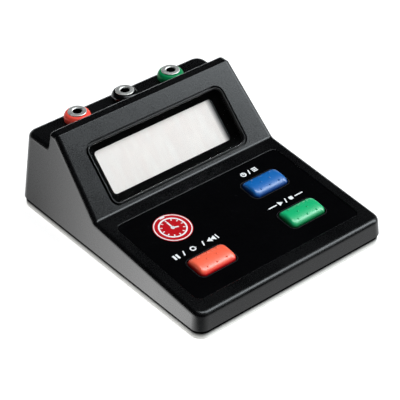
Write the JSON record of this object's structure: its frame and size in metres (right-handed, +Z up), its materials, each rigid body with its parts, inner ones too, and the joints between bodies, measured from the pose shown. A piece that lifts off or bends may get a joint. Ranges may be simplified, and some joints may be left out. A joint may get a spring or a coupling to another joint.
{
  "type": "digital stopwatch",
  "caption": "Bench stopwatch in a wedge-shaped case: sloping key panel with crowned push keys, tilted display window, and a rear shelf with coloured 4 mm sockets.",
  "frame": {"origin": "on the table, under the middle of the case's footprint", "axes": "+X to the user's right, +Y from the user to the back with the sockets, +Z up"},
  "size_m": [0.102, 0.122, 0.0466],
  "materials": {
    "case_plastic": "fine matt grain, near black",
    "base_plastic": "fine matt grain, pale grey",
    "overlay_film": "gloss black with white print",
    "blue_key": "satin blue",
    "green_key": "satin green",
    "red_key": "satin orange red",
    "window_pane": "polished clear acrylic",
    "bezel_plastic": "matt black",
    "lcd_glass": "pale reflective display",
    "red_collar": "gloss red",
    "black_collar": "gloss black",
    "green_collar": "gloss green",
    "nickel": "nickel plated brass",
    "insulator": "ivory nylon",
    "brass_strip": "stamped brass",
    "lead_sleeve": "soft sleeve",
    "circuit_board": "green lacquer",
    "strip_rubber": "soft rubber",
    "chip_resin": "black resin",
    "steel": "zinc plated",
    "ceramic": "fired ceramic",
    "switch_plastic": "black nylon",
    "ribbon_film": "grey film",
    "cell_wrap": "printed film wrap",
    "foot_rubber": "matt black"
  },
  "bodies": {
    "case": {"upper_case": "case_plastic", "base_cover": "base_plastic", "overlay_panel": "overlay_film", "display_window": "window_pane", "display_bezel": "bezel_plastic", "lcd_panel": "lcd_glass", "red_socket_collar": "red_collar", "black_socket_collar": "black_collar", "green_socket_collar": "green_collar", "red_socket_sleeve": "nickel", "black_socket_sleeve": "nickel", "green_socket_sleeve": "nickel", "socket_washers": "insulator", "socket_tags": "brass_strip", "socket_nuts": "nickel", "socket_leads": "lead_sleeve", "display_board": "circuit_board", "contact_strips": "strip_rubber", "controller_chip": "chip_resin", "quartz_crystal": "steel", "board_capacitors": "ceramic", "key_board": "circuit_board", "switch_bodies": "switch_plastic", "board_ribbon": "ribbon_film", "board_screws": "steel", "battery_cells": "cell_wrap", "battery_contacts": "brass_strip", "battery_leads": "lead_sleeve", "case_screws": "steel", "rubber_feet": "foot_rubber"},
    "mode_button": {"mode_key": "blue_key", "mode_stem": "switch_plastic"},
    "start_stop_button": {"start_stop_key": "green_key", "start_stop_stem": "switch_plastic"},
    "reset_button": {"reset_key": "red_key", "reset_stem": "switch_plastic"},
    "door": {"battery_door": "base_plastic"}
  },
  "joints": [
    {"name": "mode_press", "type": "slide", "parent": "case", "child": "mode_button", "axis": [0, 0.0854, -0.9963], "range_m": [0, 0.001], "stiffness_N_per_m": 800, "springref_m": -0.0008},
    {"name": "start_stop_press", "type": "slide", "parent": "case", "child": "start_stop_button", "axis": [0, 0.0854, -0.9963], "range_m": [0, 0.001], "stiffness_N_per_m": 800, "springref_m": -0.0008},
    {"name": "reset_press", "type": "slide", "parent": "case", "child": "reset_button", "axis": [0, 0.0854, -0.9963], "range_m": [0, 0.001], "stiffness_N_per_m": 800, "springref_m": -0.0008},
    {"name": "door_slide", "type": "slide", "parent": "case", "child": "door", "axis": [0, 1, 0], "range_m": [0, 0.03]}
  ]
}
